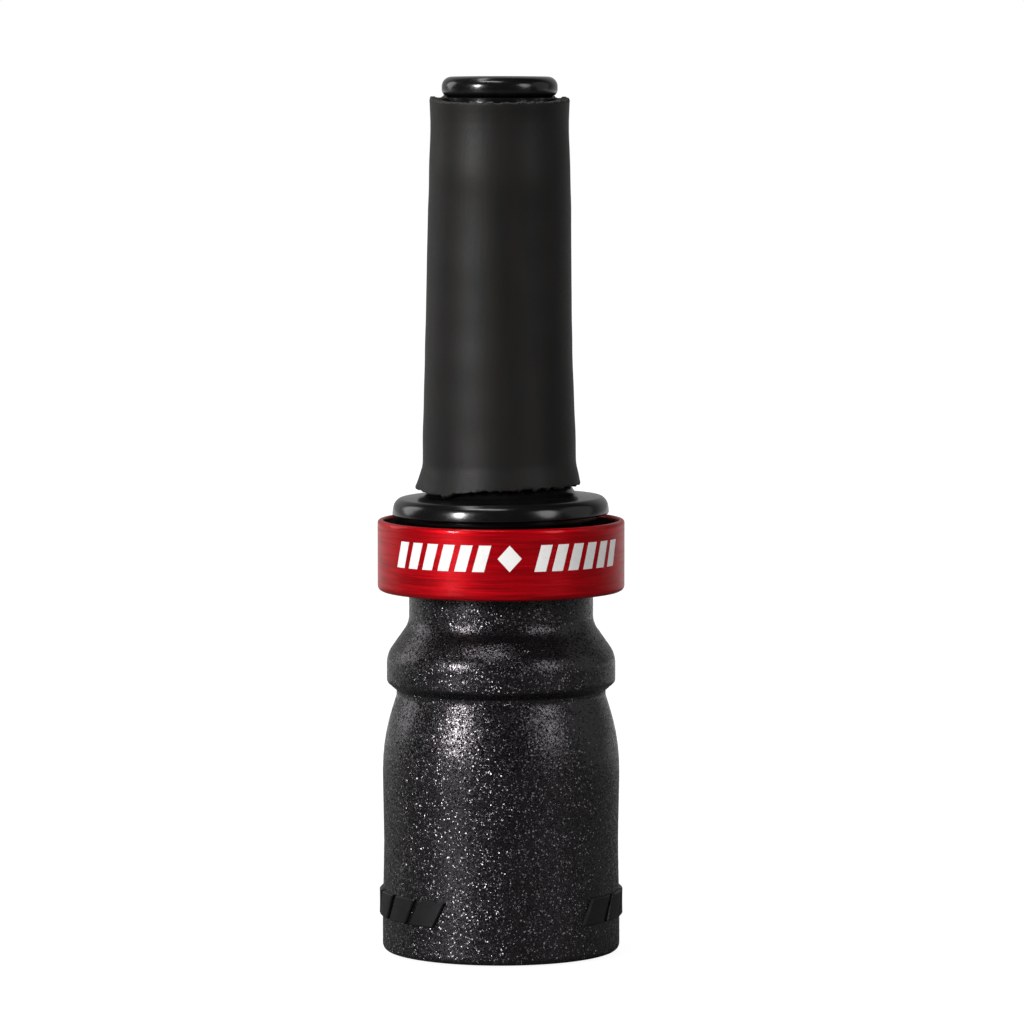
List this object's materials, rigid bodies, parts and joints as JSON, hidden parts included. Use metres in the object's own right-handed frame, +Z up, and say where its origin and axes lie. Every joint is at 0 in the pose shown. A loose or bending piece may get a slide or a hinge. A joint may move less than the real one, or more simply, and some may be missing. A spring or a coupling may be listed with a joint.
{
  "type": "grunt call",
  "caption": "Hand-held bite-style grunt call: rubber bite sleeve over a reed stem, domed collar, anodised band and stippled barrel with an open bell.",
  "frame": {"origin": "centre of the bell's rim, on the surface that the call stands on", "axes": "+Z up the call's axis from the bell to the mouth; -Y is the side that the bite window and the reed face; +X to the right of someone looking at that side"},
  "size_m": [0.0342, 0.0342, 0.1207],
  "materials": {
    "stippled_black": "coarse moulded stipple with a glitter",
    "red_anodised": "turned and red anodised, with a white printed bar pattern",
    "gloss_black": "gloss moulded",
    "sleeve_rubber": "matt, cut ends",
    "oring_rubber": "smooth nitrile",
    "tone_board_plastic": "satin moulded",
    "wedge_cork": "cut cork",
    "reed_film": "translucent polyester film"
  },
  "bodies": {
    "barrel": {"barrel": "stippled_black", "accent_band": "red_anodised"},
    "spigot_orings": {"spigot_oring_upper": "oring_rubber", "spigot_oring_lower": "oring_rubber"},
    "mouthpiece": {"mouthpiece_tube": "gloss_black", "bite_sleeve": "sleeve_rubber"},
    "reed_insert": {"tone_board": "tone_board_plastic", "reed_wedge": "wedge_cork", "reed_band": "oring_rubber", "insert_oring": "oring_rubber"},
    "reed": {"reed": "reed_film"}
  },
  "joints": [
    {"name": "mouthpiece_pull", "type": "slide", "parent": "barrel", "child": "spigot_orings", "axis": [0, 0, 1], "range_m": [0, 0.024]},
    {"name": "mouthpiece_turn", "type": "hinge", "parent": "spigot_orings", "child": "mouthpiece", "pos_m": [0, 0, 0.049], "axis": [0, 0, 1], "continuous": true},
    {"name": "insert_pull", "type": "slide", "parent": "mouthpiece", "child": "reed_insert", "axis": [0, 0, -1], "range_m": [0, 0.02]},
    {"name": "reed_flex", "type": "hinge", "parent": "reed_insert", "child": "reed", "pos_m": [0, -0.0005, 0.07], "axis": [-1, 0, 0], "range_deg": [-1, 1.3], "stiffness_Nm_per_rad": 0.003}
  ]
}
